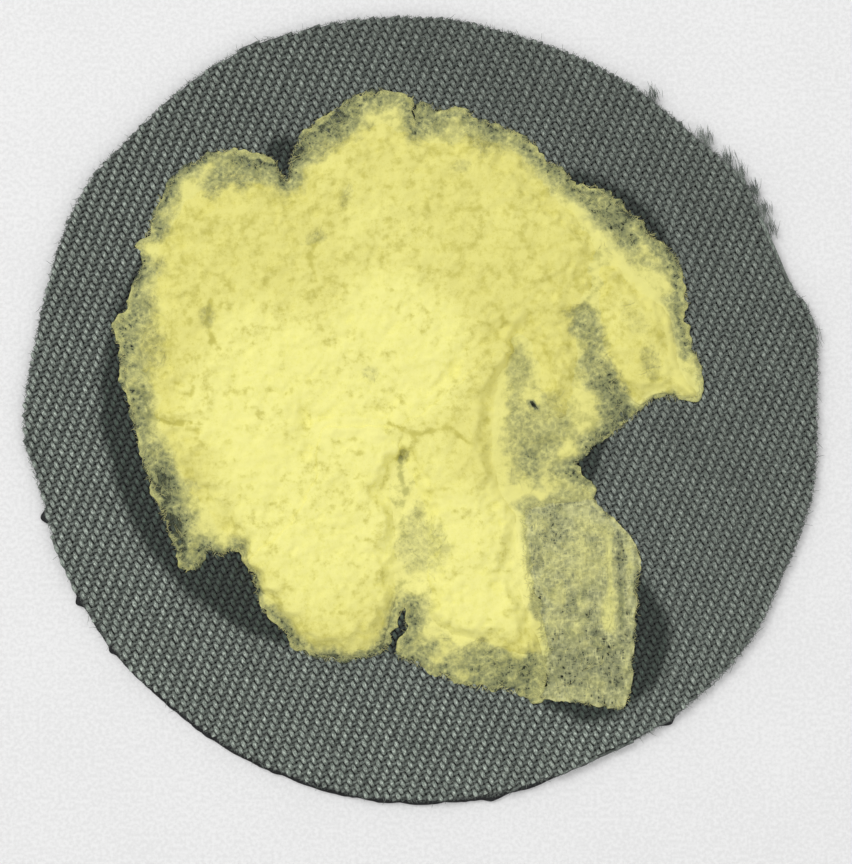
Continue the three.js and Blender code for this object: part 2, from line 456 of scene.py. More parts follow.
def slab_outline(node):
    """The rim of a CAD slab's top face, as (x, y) rows that run anticlockwise."""
    shell = bmesh.new()
    shell.from_mesh(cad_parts[node].data)
    bmesh.ops.remove_doubles(shell, verts=shell.verts, dist=0.001 * MM)
    top = max(vert.co.z for vert in shell.verts) - 0.01 * MM
    level = (face for face in shell.faces if min(vert.co.z for vert in face.verts) > top)
    lid = dict.fromkeys(level)  # kept in their order, so that every run starts at the same place
    following = {}
    for face in lid:
        for loop in face.loops:
            if not any(other in lid for other in loop.edge.link_faces if other is not face):
                following[loop.vert] = loop.link_loop_next.vert
    rim = [next(iter(following))]
    while following[rim[-1]] is not rim[0]:
        rim.append(following[rim[-1]])
    outline = np.array([vert.co.xy[:] for vert in rim])
    shell.free()
    return outline


def walked(outline, step):
    """The same closed outline, in even steps."""
    ring = np.vstack([outline, outline[:1]])
    run = np.concatenate([[0.0], np.cumsum(np.hypot(*np.diff(ring, axis=0).T))])
    stops = np.linspace(0, run[-1], max(8, round(run[-1] / step)), endpoint=False)
    return np.column_stack([np.interp(stops, run, ring[:, axis]) for axis in (0, 1)])


def cloudy(points, size, seed, layers=3):
    """Soft noise, mostly from -1 to 1, at (x, y) points, in clouds about size across."""
    total = np.zeros(len(points))
    for layer in range(layers):
        lattice = np.random.default_rng(seed + 31 * layer).uniform(-1, 1, (512, 512))
        cell = points / (size * 0.5**layer) + 7.3
        corner = np.floor(cell).astype(int)
        share = cell - corner
        share = share * share * (3 - 2 * share)
        x, y = corner[:, 0] % 512, corner[:, 1] % 512
        right, up = (x + 1) % 512, (y + 1) % 512
        low = lattice[x, y] * (1 - share[:, 0]) + lattice[right, y] * share[:, 0]
        high = lattice[x, up] * (1 - share[:, 0]) + lattice[right, up] * share[:, 0]
        total += 0.6**layer * (low * (1 - share[:, 1]) + high * share[:, 1])
    return total


def outward(outline):
    """The unit normals that point out of an anticlockwise outline."""
    run = np.roll(outline, -1, axis=0) - np.roll(outline, 1, axis=0)
    normals = np.column_stack([run[:, 1], -run[:, 0]])
    return normals / np.maximum(np.hypot(*normals.T), 1e-9)[:, None]


def torn(outline, step, amount, size, seed, grow=0.0):
    """An outline walked in steps, grown, and pushed in and out by up to about amount.
    grow is a distance, or a function that gives one for each point."""
    outline = walked(outline, step)
    push = (grow(outline) if callable(grow) else grow) + amount * cloudy(outline, size, seed)
    return walked(outline + outward(outline) * push[:, None], step)


def edge_distance(points, outline):
    """How far each point is from the nearest side of an outline."""
    start = outline
    side = np.roll(outline, -1, axis=0) - outline
    length = np.maximum((side**2).sum(1), 1e-18)
    nearest = np.empty(len(points))
    for first in range(0, len(points), 2000):
        away = points[first : first + 2000, None, :] - start[None]
        share = np.clip((away * side[None]).sum(2) / length, 0, 1)
        gap = away - share[..., None] * side[None]
        nearest[first : first + 2000] = np.sqrt((gap**2).sum(2).min(1))
    return nearest


def is_inside(points, outline):
    """Whether each point is inside an outline, by counting the sides that a ray crosses."""
    ahead = np.roll(outline, -1, axis=0)
    inside = np.zeros(len(points), bool)
    for (x0, y0), (x1, y1) in zip(outline, ahead):
        if y0 == y1:
            continue
        spans = (y0 > points[:, 1]) != (y1 > points[:, 1])
        crossing = x0 + (points[:, 1] - y0) * (x1 - x0) / (y1 - y0)
        inside ^= spans & (points[:, 0] < crossing)
    return inside


# %% [markdown]
# ## Sheets from outlines
#
# A sheet is a closed mesh: a top skin full of points that can carry relief, a flat underside and
# a narrow wall round the rim. A constrained Delaunay triangulation joins the scattered points of
# the top without any slivers, whatever the outline does.

# %% Sheet helpers


def scattered(outline, spacing, seed):
    """Points inside an outline on a jittered triangular lattice, clear of its rim."""
    low, high = outline.min(0), outline.max(0)
    columns = np.arange(low[0], high[0], spacing)
    rows = np.arange(low[1], high[1], spacing * 0.866)
    x, y = np.meshgrid(columns, rows)
    x = x + 0.5 * spacing * (np.arange(len(rows)) % 2)[:, None]
    points = np.column_stack([x.ravel(), y.ravel()])
    points += np.random.default_rng(seed).uniform(-0.22, 0.22, points.shape) * spacing
    points = points[is_inside(points, outline)]
    return points[edge_distance(points, outline) > 0.55 * spacing]


def triangles_in(points, outline_size):
    """The triangles that fill an outline, which is the first outline_size points."""
    ring = list(range(outline_size))
    result = delaunay_2d_cdt([tuple(point) for point in points], [], [ring], 1, 1e-9)
    return np.array(result[0]), np.array(result[2])


def sheet_mesh(name, outline, scatter, height, low, attributes=None):
    """A closed sheet over an outline, with scattered points inside it and its underside at low.
    height, and each of the named attributes, is a function of points and of how far each point
    is from the edge."""
    points = np.vstack([outline, scatter])
    points, faces = triangles_in(points, len(outline))
    edge = edge_distance(points, outline)
    edge[: len(outline)] = 0.0
    top = np.column_stack([points, height(points, edge)])
    floor_points, floor_faces = triangles_in(outline, len(outline))
    bottom = np.column_stack([floor_points, np.full(len(floor_points), low)])
    first = len(top)
    ring = np.arange(len(outline))
    ahead = np.roll(ring, -1)
    wall = np.column_stack([ring, first + ring, first + ahead, ahead])
    every = [tuple(face) for face in faces.tolist()]
    every += [tuple(face) for face in wall.tolist()]
    every += [tuple(first + corner for corner in face[::-1]) for face in floor_faces.tolist()]
    mesh = bpy.data.meshes.new(name)
    mesh.from_pydata(np.vstack([top, bottom]).tolist(), [], every)
    for label, field in (attributes or {}).items():
        layer = mesh.attributes.new(label, "FLOAT", "POINT")
        layer.data.foreach_set("value", np.append(field(points, edge), np.zeros(len(bottom))))
    mesh.validate()
    if sum(face.normal.z for face in mesh.polygons[: len(faces)]) < 0:
        mesh.flip_normals()
    for face in mesh.polygons[: len(faces)]:
        face.use_smooth = True
    print(name, "triangles:", len(faces) + 2 * len(wall) + len(floor_faces))
    return placed(name, mesh)


def ramp(values, low, high):
    """0 at low, 1 at high, and smooth between."""
    share = np.clip((values - low) / (high - low), 0, 1)
    return share * share * (3 - 2 * share)


def from_spot(points, x, y):
    """How far each point is from a spot, which is given in mm."""
    return np.hypot(*(points - np.array([x, y]) * MM).T)


# %% [markdown]
# ## Dark twill, soaked round the clay, in painted light and shade
#
# The yarns are grey-green, a little uneven from yarn to yarn and along each float, with paler
# fibres and painted glints on top. Their colour holds painted light and shade: each yarn is lighter
# on its crown and darker down in the weave, more softly towards the upper right, and the cloth
# is a little darker towards the top. Where the clay was wet it soaked the cloth, and that shows as
# a nearly black border round it. The border is a few soft circles that run past the clay's edges;
# two small ones paint shade into the cloth seen in the clay's slits.

# %% Twill finish
GROUND_HIGH = CLOTH_LOW + 0.20 * MM
WET_AND_SHADED_SPOTS = (  # where the cloth is wet, and two spots of painted shade in the clay's slits: x, y, radius in mm from the middle of the disc
    (-6.3, 1.1, 24.5),
    (13.2, 11.5, 11.6),
    (16.0, -21.7, 7.9),
    (-13.0, 24.0, 2.2),
    # the last two are painted shade in the slits at the bottom and at the top of the clay
    (-1.8, -21.8, 1.9),
    (-0.9, 28.6, 0.9),
)
WET_AND_SHADED_EDGE = 1.3 * MM


def wet_and_shade_mask(graph, place):
    """1 in the stain round the clay and in the painted shade of the clay's two slits, 0 elsewhere."""
    x, y, _ = graph.parts(place)
    ragged = (cloudiness(graph, place, 2.2 * MM) - 0.5) * (1.6 * MM)
    mask = None
    for spot_x, spot_y, radius in WET_AND_SHADED_SPOTS:
        away_x = x - spot_x * MM
        away_y = y - spot_y * MM
        distance = (away_x * away_x + away_y * away_y).math("SQRT") + ragged
        outer = (radius + 0.4) * MM
        inside = between(graph, distance, outer, outer - WET_AND_SHADED_EDGE)
        mask = inside if mask is None else mask.math("MAXIMUM", inside)
    return mask


def twill_material(name, angle, pale, dark, lit_at):
    """Yarn that is pale where its fibres stand up and in painted glints, with painted light on its
    crown and painted shade below lit_at, that painted shade softer towards the upper right, darker
    towards the top, dark in the stain round the clay and in the painted shade of the clay's slits.
    """
    material, graph, shader, place = new_material(name)
    yarn_tone = cloudiness(graph, place, 0.30 * MM, detail=2.0, stretch=14, turn=angle)
    fleck = cloudiness(graph, place, 0.085 * MM, detail=3.0, stretch=4, turn=angle)
    patchy = cloudiness(graph, place, 5 * MM, detail=4.0)
    uneven = cloudiness(graph, place, 0.55 * MM, detail=2.0)
    # fleck mixes in paler fibres and painted glints along the yarn
    colour = blend(graph, between(graph, fleck, 0.40, 0.66), linear(*dark), linear(*pale))
    shade = between(graph, yarn_tone, 0.25, 0.75) * 0.30 + patchy * 0.40 + uneven * 0.6 + 0.30
    east, north, up = graph.parts(place)
    # painted light and shade by height: lit on the crown, shaded below lit_at, the contrast softer
    # towards the upper right; the last factor makes the cloth darker towards the top
    painted_crown_light = between(graph, up, WEAVE_MIDDLE - 0.4 * CRIMP, lit_at, smooth=False)
    softer_painted_shade = between(graph, east + north * 0.5, -12 * MM, 24 * MM)
    shade = shade * (0.30 + softer_painted_shade * 0.19 + painted_crown_light * painted_crown_light * (1.15 - softer_painted_shade * 0.60)) * (1.02 - north * 3.5)
    dimmed = graph.scaled(colour, shade)
    # the stain darkens the cloth, and the same mask paints shade into the clay's slits
    wet_and_shade = wet_and_shade_mask(graph, place)
    soaked_and_shaded_tint = blend(graph, wet_and_shade * 0.95, (1.0, 1.0, 1.0), (0.10, 0.155, 0.125))
    graph.feed(shader.inputs["Base Color"], blend(graph, 1.0, dimmed, soaked_and_shaded_tint, "MULTIPLY"))
    graph.feed(shader.inputs["Roughness"], 0.95 - wet_and_shade * 0.28)
    shader.inputs["Sheen Weight"].default_value = 0.12
    shader.inputs["Sheen Roughness"].default_value = 0.6
    graph.feed(shader.inputs["Normal"], bump(graph, fleck, 0.35, 0.05 * MM))
    return material


warp_finish = twill_material("warp_yarn", WARP_ANGLE, (166, 175, 165), (92, 102, 94), CLOTH_HIGH)
weft_finish = twill_material("weft_yarn", WEFT_ANGLE, (146, 155, 147), (78, 87, 81), CLOTH_HIGH)
# the ground is dark as painted shade between the yarns, and stands for the black film seen through them
ground_finish = twill_material("twill_ground", WEFT_ANGLE, (52, 57, 55), (26, 30, 29), GROUND_HIGH)

# %% [markdown]
# The warps run one way and the wefts the other, and each set is woven in a few pieces, because a
# mesh of more than 200,000 triangles is slow to handle. The warps have a rounder section and
# swell a little on each float, since they are what shows.

# %% Weave the cloth


def yarn_set(name, pieces, angle, step, crimp, half_width, bulge, sides, finish):
    """One set of yarns, in pieces that each hold the same length of yarn, so that all stay light."""
    sizes = {
        "Rim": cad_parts["twill_face"],
        "Pitch": YARN_PITCH,
        "Crossings": YARNS,
        "Half width": half_width,
        "Half height": YARN_HALF_HEIGHT,
        "Sides": sides,
        "Crimp": crimp,
        "Bulge": bulge,
        "Step": step,
        "Angle": angle,
        "Middle": (DISC_MIDDLE[0], DISC_MIDDLE[1], WEAVE_MIDDLE),
        "Wander": WANDER,
        "Fray": FRAY,
        "Material": finish,
    }
    begin, stop = -YARNS // 2, YARNS // 2 + 1
    lengths = np.sqrt(np.clip((YARNS / 2) ** 2 - np.arange(begin, stop) ** 2, 0, None))
    so_far = np.cumsum(lengths) / lengths.sum()
    edges = [begin, *(begin + np.searchsorted(so_far, np.arange(1, pieces) / pieces)), stop]
    made = []
    for number, (first, end) in enumerate(zip(edges[:-1], edges[1:]), 1):
        sizes["First"] = int(first)
        sizes["Count"] = int(end - first)
        made.append(grown(f"{name}_{number}", weaving, sizes))
    return made


warps = yarn_set("warp_yarns", 3, WARP_ANGLE, 1.0, CRIMP, WARP_HALF_WIDTH, 0.20, 6, warp_finish)
wefts = yarn_set("weft_yarns", 2, WEFT_ANGLE, -1.0, -0.95 * CRIMP, WEFT_HALF_WIDTH, 0.0, 4, weft_finish)

# %% [markdown]
# ## The ground of the cloth
#
# Between the yarns there is only darkness: painted shade deep in the weave, and the black film below
# it.
# A thin dark sheet at the bottom of the weave stands for that, as painted shade, and carries the cut
# size of the cloth.

# %% Ground sheet
cloth_outline = slab_outline("twill_face")
ground_outline = torn(cloth_outline, 0.4 * MM, 0.10 * MM, 1.2 * MM, seed=3, grow=-0.10 * MM)
ground = sheet_mesh(
    "twill_ground",
    ground_outline,
    scattered(ground_outline, 2.0 * MM, seed=4),
    lambda points, edge: np.full(len(points), GROUND_HIGH),
    CLOTH_LOW,
)
ground.data.materials.append(ground_finish)

# %% [markdown]
# ## The black film under the cloth
#
# The disc is backed with a soft black film that shows as a thin line past the cloth at the lower
# left. It was cut together with the cloth by hand, so its edge is a little nicked.

# %% Film
FILM_LOW, FILM_HIGH = (corner[2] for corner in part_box("black_backing"))

film_material, graph, shader, place, grain = mottled(
    "black_film", 0.5 * MM, (16, 17, 18), (34, 36, 38), 0.5, 0.3, detail=4.0
)
graph.feed(shader.inputs["Normal"], bump(graph, grain, 0.3, 0.05 * MM))

NUBS = (  # x, y, radius and how far the film sticks out, in mm
    (-32.7, -18.3, 0.8, 0.75),
    (-36.0, -10.2, 1.2, 1.3),
    (-29.6, -23.0, 0.7, 0.4),
    (7.0, -37.0, 1.6, 0.4),
    (23.5, -29.3, 1.2, 0.5),
)


def nubs(points):
    """How far the film's edge is pulled out at each point."""
    out = np.zeros(len(points))
    for x, y, radius, length in NUBS:
        out += length * MM * (1 - ramp(from_spot(points, x, y), 0, radius * MM))
    return out


film_outline = torn(slab_outline("black_backing"), 0.20 * MM, 0.12 * MM, 1.6 * MM, seed=11, grow=nubs)
film = sheet_mesh(
    "black_film",
    film_outline,
    scattered(film_outline, 2.0 * MM, seed=12),
    lambda points, edge: FILM_HIGH - 0.08 * MM * (1 - ramp(edge, 0, 0.3 * MM)),
    FILM_LOW,
)
film.data.materials.append(film_material)

# %% [markdown]
# ## Where the clay is thin
#
# The clay was pressed on and torn off again, so it lies in plies: one thin veil over everything
# and a few thick plies on top. Towards its margins and in a few worn places the veil is so thin
# that the cloth shows through it. `cover` gives how much of the cloth the clay hides at a place,
# from 0 to 1. It is stored on the points of each sheet for the finish to read.

# %% Cover of the clay
WORN = (  # x, y, half length, half width in mm, turn in degrees, cover left at its middle
    (16.8, 4.6, 5.6, 1.6, 107, 0.31),
    (18.4, 0.9, 2.8, 2.0, 105, 0.16),
    (15.6, 8.6, 2.2, 0.8, 95, 0.45),
    (10.8, -2.5, 4.1, 3.4, 90, 0.48),
    (9.4, 3.4, 3.2, 1.3, 78, 0.62),
    (8.9, -3.0, 4.4, 0.9, 92, 0.55),
    (10.0, -4.9, 1.2, 0.8, 90, 0.30),
    (10.65, 0.6, 0.75, 0.36, -40, -0.6),
    (7.4, -24.2, 6.8, 1.6, -14, 0.34),
    (8.4, -24.3, 1.8, 0.9, -10, 0.20),
    (0.9, -21.0, 1.9, 3.0, 20, 0.90),
    (-2.0, -20.7, 2.5, 0.38, 74, -1.2),
    (0.3, -12.4, 2.2, 3.5, 10, 0.68),
    (-1.7, -4.6, 0.5, 0.9, 0, 0.62),
    (-0.85, 28.6, 1.9, 0.30, 96, -1.5),
    (18.0, 17.3, 5.6, 1.7, -48, 0.58),
    (17.2, 18.4, 1.8, 1.1, -48, 0.28),
    (19.6, 16.4, 1.6, 0.9, -48, 0.25),
    (21.6, 4.2, 2.4, 1.0, 100, 0.66),
    (20.6, 8.4, 2.2, 1.2, 130, 0.80),
    (-9.8, 16.3, 1.3, 0.7, 20, 0.62),
    (-20.1, 8.9, 0.7, 1.4, 0, 0.66),
    (-4.6, 3.4, 0.8, 0.7, 0, 0.74),
    (-7.0, 20.6, 1.8, 0.6, 75, 0.76),
    (3.6, 23.1, 1.1, 0.6, 10, 0.74),
    (-24.0, -9.5, 6.4, 2.3, 108, 0.30),
    (-24.2, -7.0, 1.8, 1.0, 100, 0.12),
    (-23.3, -11.6, 1.8, 1.0, 110, 0.12),
    (-17.2, 22.6, 4.4, 1.6, 22, 0.36),
    (-11.0, 24.2, 2.6, 0.8, 0, 0.60),
    (-7.6, 26.8, 3.4, 1.9, 30, 0.34),
    (4.6, 26.4, 4.2, 1.5, -20, 0.60),
    (-26.4, 7.0, 7.2, 2.0, 88, 0.56),
    (18.9, -14.1, 2.8, 0.65, 90, 0.10),
    (12.7, -10.3, 1.5, 0.5, 90, 0.22),
    (10.9, -14.1, 1.7, 0.8, 90, 0.22),
    (11.1, -17.9, 1.4, 0.7, 90, 0.24),
    (14.4, -18.4, 1.5, 0.6, 90, 0.24),
    (18.1, -24.4, 1.8, 0.9, 90, 0.16),
    (14.6, -25.2, 2.0, 1.2, 60, 0.24),
    (11.4, -24.3, 2.1, 1.0, 0, 0.20),
    (13.4, -21.6, 1.2, 0.7, 90, 0.30),
    (14.4, -24.2, 3.0, 2.4, 0, 0.17),
)
FILLED = (  # the same, for places in the thin clay that hide more of the cloth
    (18.0, -16.5, 5.0, 0.40, 91, 0.75),
    (17.8, -19.8, 1.8, 0.65, 91, 0.85),
    (20.0, -17.5, 7.0, 0.35, 93, 0.68),
    (16.0, -10.6, 3.4, 0.8, -30, 0.62),
    (15.2, -14.5, 3.4, 1.0, 90, 0.58),
    (13.0, -20.0, 2.4, 0.6, 0, 0.52),
)


def spots(points, table):
    """For each row of a table, its cover and how strongly each point feels it, ragged."""
    uneven = 0.38 * cloudy(points, 1.6 * MM, 21, layers=4)
    for x, y, half_length, half_width, turn, cover in table:
        away = points - np.array([x, y]) * MM
        turn = math.radians(turn)
        along = away[:, 0] * math.cos(turn) + away[:, 1] * math.sin(turn)
        across = -away[:, 0] * math.sin(turn) + away[:, 1] * math.cos(turn)
        reach = np.hypot(along / (half_length * MM), across / (half_width * MM)) + uneven
        yield cover, 1 - ramp(reach, 0.45, 1.35)


def worn(points, most=1.0):
    """The cover that is left at each point where the sheet's own is most."""
    left = np.full(len(points), float(most))
    if most < 1:
        left *= 1 + 0.55 * cloudy(points, 1.9 * MM, 23)
        for cover, near in spots(points, FILLED):
            left = left + (np.maximum(cover, left) - left) * near
    for cover, near in spots(points, WORN):
        left = left + (np.minimum(cover, left) - left) * near
    return np.clip(left, 0, 1)


# %% [markdown]
# ## Clay finish
#
# The clay is a soft yellow paste full of short fibres. Where it is thick it is an even buttery
# yellow, mottled with olive. Its colour also holds painted light and shade: olive in its creases
# as painted shade, and paler on its ridges as a painted highlight. Where it is thin it is milky, so
# the cloth below greys it but its weave can't be made out; only the thinnest places let the eye
# right through.

# %% Clay material


def attribute(graph, name):
    node = graph.node("ShaderNodeAttribute", {"attribute_name": name})
    return graph.value(node.outputs["Fac"])


def fibre_net(graph, place, size, turns):
    """Ridged streaks in several directions, from 0 between the strands to 1 on one."""
    net = None
    for turn in turns:
        streak = cloudiness(graph, place, size, detail=2.0, stretch=6, turn=math.radians(turn))
        ridge = 1.0 - ((streak - 0.5) * 6.0).math("ABSOLUTE")
        net = ridge if net is None else net.math("MAXIMUM", ridge)
    return between(graph, net, 0.2, 1.0)


def curls(graph, place, size):
    """Crumpled loops round little pores, from 0 in a pore to 1 on a loop."""
    moved = graph.scaled(graph.stray(place, 1 / size, 2.0), 1.1 * size)
    cells = graph.node(
        "ShaderNodeTexVoronoi",
        {"feature": "DISTANCE_TO_EDGE", "voronoi_dimensions": "2D"},
        {"Vector": graph.vector("ADD", place, moved), "Scale": 1 / size},
    ).outputs["Distance"]
    return between(graph, graph.value(cells), 0.30, 0.02)


def clay_material(name, colours, turns, streak=0.22 * MM, streaked=0.48):
    """colours are those of the ripest and the dullest paste, of thin clay, of its olive mottles, which
    also paint shade into its creases, and of the cloth seen through it. turns are the ways that its
    fibres lie, in degrees."""
    ripest, dullest, thin, olive_and_crease_shade, through = (linear(*colour) for colour in colours)
    material, graph, shader, place = new_material(name)
    cover = attribute(graph, "cover")
    body = attribute(graph, "body")
    ripe = attribute(graph, "ripe")
    fold = attribute(graph, "fold")
    crumbs = cloudiness(graph, place, 0.50 * MM, detail=4.0)
    felt = cloudiness(graph, place, 0.42 * MM, detail=2.0)
    blots = cloudiness(graph, place, 1.15 * MM, detail=3.0)
    lumps = cloudiness(graph, place, 3.2 * MM, detail=3.0)
    net = fibre_net(graph, place, streak, turns)
    loops = curls(graph, place, 0.75 * MM)
    thick = blend(graph, between(graph, ripe + (lumps - 0.5) * 0.6, 0.0, 0.9), dullest, ripest)
    paste = blend(graph, between(graph, body + (lumps - 0.5) * 0.8, 0.15, 0.85), thin, thick)
    # golden and pale hold random mottles and fibres, and through fold the painted shade in the creases
    # and the painted highlight on the ridges
    golden = crumbs * 0.18 + blots * 0.50 + lumps * 0.32 + fold * 0.4 + ripe * 0.04
    olive = between(graph, golden, 0.53, 0.38) * 0.85
    colour = blend(graph, olive, paste, olive_and_crease_shade)
    pale = between(graph, net * 0.22 + blots * 0.5 + crumbs * 0.5 + fold * 0.6, 0.50, 0.80) * 0.75
    colour = blend(graph, pale * (0.5 + ripe * 0.5), colour, linear(249, 244, 154))
    weave = (net - 0.45) * streaked + (loops - 0.35) * 0.28 + (felt - 0.5) * 1.5 + (blots - 0.5) * 0.6
    seen = cover * 1.10 - 0.04 + weave * ((1.0 - cover) * (cover * 4.0).math("MINIMUM", 1.0))
    milky = between(graph, seen, -0.1, 1.0, smooth=False).math("POWER", 1.45)
    colour = blend(graph, milky, through, colour)
    graph.feed(shader.inputs["Base Color"], colour)
    graph.feed(shader.inputs["Roughness"], 0.66 + crumbs * 0.25)
    graph.feed(shader.inputs["Alpha"], between(graph, seen, -0.06, 0.20, smooth=False))
    relief = crumbs * 0.7 + net * 0.25 + loops * 0.25 * (1.0 - body)
    graph.feed(shader.inputs["Normal"], bump(graph, relief, 0.35, 0.12 * MM))
    return material


thick_clay = clay_material(
    "clay_thick",
    ((241, 236, 135), (221, 214, 114), (222, 218, 134), (200, 193, 92), (96, 104, 76)),
    (15, 75, 130),
)
thin_clay = clay_material(
    "clay_thin",
    ((236, 231, 138), (224, 219, 126), (214, 214, 138), (186, 184, 104), (96, 104, 76)),
    (35, 95, 150),
)
panel_clay = clay_material(
    "clay_panel",
    ((226, 222, 138), (222, 219, 136), (208, 210, 158), (174, 176, 112), (98, 104, 78)),
    (4, 88, 97),
    streak=0.30 * MM,
    streaked=0.65,
)

# %% [markdown]
# ## The clay plies
#
# Each ply is a torn sheet over the outline of its slab. Where two thick plies meet they are drawn
# almost a millimetre wider than their slabs, so that the tear between them closes up as it does
# in soft clay. Each thick ply starts from the veil's own surface and colour at its rim, and so it
# melts into the veil on most sides. Where a ply was lifted off, its edge stays steep.

# %% Ply helpers
STEEP = (  # places where the thick clay ends in a step: x, y, radius in mm
    (7.6, 4.0, 3.2),
    (7.2, -1.5, 3.2),
    (7.4, -6.0, 3.2),
    (9.2, -12.0, 3.6),
    (10.2, -17.0, 3.6),
    (11.0, -22.0, 3.2),
    (26.0, 2.0, 3.0),
    (22.0, 1.0, 3.0),
    (14.0, 2.0, 3.0),
)
FOLDS = (  # ridges (+) and creases (-): strength, half width in mm, points in mm
    (0.9, 0.40, ((14.6, 19.6), (16.6, 17.9), (19.4, 13.4), (22.4, 10.3), (23.5, 8.7), (23.9, 6.3),
                 (24.3, 3.9), (25.6, 1.8))),
    (0.8, 0.30, ((8.0, 7.2), (8.8, 8.1), (9.7, 8.9))),
    (0.25, 0.30, ((7.9, 5.8), (7.2, 1.6), (6.9, -1.6), (7.2, -6.5))),
    (0.35, 0.30, ((8.9, -9.8), (9.8, -14.5), (10.6, -19.5), (11.2, -23.0))),
    (0.45, 0.60, ((7.5, -7.9), (11.5, -8.3), (15.8, -8.3))),
    (-0.6, 0.12, ((-26.4, 2.4), (-26.1, 0.6), (-25.2, -0.7), (-23.4, -1.3), (-22.6, -1.2))),
    (-0.4, 0.12, ((-21.8, -1.1), (-20.8, -1.2))),
    (-0.3, 0.18, ((-9.5, 16.5), (-10.6, 14.6), (-9.8, 12.4))),
    (-0.3, 0.20, ((-1.6, -3.4), (-2.1, -5.4), (-1.4, -7.4), (-1.9, -9.6), (-1.4, -12.0))),
    (0.4, 0.50, ((-9.6, -2.0), (-6.5, -1.5), (-4.0, -2.2))),
    (-0.3, 0.18, ((-3.0, -1.2), (-0.5, -2.2), (2.8, -1.6), (4.6, -3.2))),
    (-0.4, 0.16, ((-19.8, 10.5), (-20.3, 8.4), (-19.6, 6.6))),
    (-0.6, 0.16, ((19.0, -16.6), (19.1, -20.6))),
)
RIPEST = (  # circles of the palest, thickest paste: x, y, radius in mm
    (-9.0, -8.0, 15.0),
    (-14.0, 2.0, 11.0),
    (4.0, -14.0, 10.0),
    (-3.0, 5.0, 10.0),
)


def folds(points):
    """Above 0 on a ridge and below 0 in a crease."""
    total = np.zeros(len(points))
    for strength, half_width, line in FOLDS:
        line = np.array(line) * MM
        line = np.vstack([line, line[-2:0:-1]])
        gap = edge_distance(points, line)
        gap *= 1 + 0.5 * cloudy(points, 0.9 * MM, 57, layers=2)
        total += strength * (1 - ramp(gap, 0, 2 * half_width * MM))
    return total


def ripeness(points):
    """1 where the paste is palest and 0 where it is duller."""
    ripe = np.zeros(len(points))
    for x, y, radius in RIPEST:
        away = from_spot(points, x, y)
        ripe = np.maximum(ripe, 1 - ramp(away, 0.4 * radius * MM, radius * MM))
    return np.clip(ripe + 0.25 * cloudy(points, 5 * MM, 58), 0, 1)


def meeting(points, neighbours):
    """1 where a point is at a neighbouring ply's edge, 0 from two millimetres away."""
    near = np.zeros(len(points))
    for node in neighbours:
        near = np.maximum(near, 1 - ramp(edge_distance(points, slab_outline(node)), 0.5 * MM, 2 * MM))
    return near


def softness(points, wide, narrow, neighbours):
    """How wide the thinning margin is at each point."""
    width = np.full(len(points), float(wide))
    for x, y, radius in STEEP:
        near = 1 - ramp(from_spot(points, x, y), 0.5 * radius * MM, radius * MM)
        width = np.minimum(width, wide + (narrow - wide) * near)
    return width + (narrow - width) * meeting(points, neighbours)


SUNK = 0.10 * MM  # how far a ply's rim dips into the ply below, so that no step shows
BURIED = 0.25 * MM  # how far a thick ply's flat underside lies below its slab


